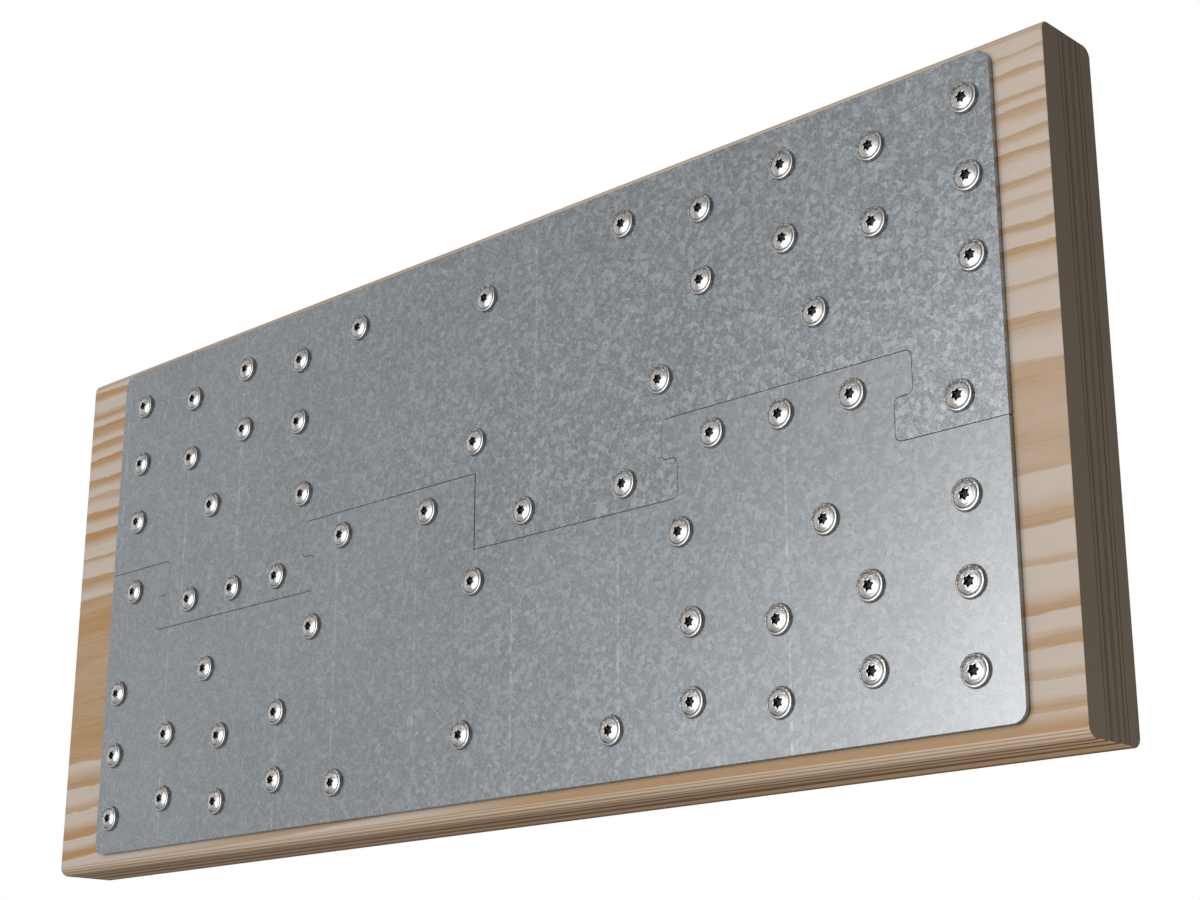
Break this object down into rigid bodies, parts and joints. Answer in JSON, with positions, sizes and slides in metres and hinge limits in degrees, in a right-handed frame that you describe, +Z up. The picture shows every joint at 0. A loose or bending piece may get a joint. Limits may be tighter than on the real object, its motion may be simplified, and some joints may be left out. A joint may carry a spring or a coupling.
{
  "type": "truss nail plate",
  "caption": "Interlocking galvanised truss nail plate: identical plates hooked along a stepped seam and screwed to the face of a softwood truss timber.",
  "frame": {"origin": "centre of the timber's bottom face", "axes": "+X along the timber, +Z up, the plates face -Y"},
  "size_m": [0.628, 0.0405, 0.277],
  "materials": {
    "pine": "planed pale softwood with orange-brown growth-ring bands along its length",
    "galvanised_upper": "hot-dip galvanised, blue-grey with a fine mottled spangle",
    "galvanised_lower": "hot-dip galvanised, blue-grey, smoother and paler to the lower right",
    "zinc_screws": "bright zinc plated, lightly marked by the driver"
  },
  "bodies": {
    "root": {"timber_board": "pine", "upper_nail_plate": "galvanised_upper", "lower_nail_plate": "galvanised_lower", "upper_plate_screws": "zinc_screws", "lower_plate_screws": "zinc_screws"}
  },
  "joints": []
}
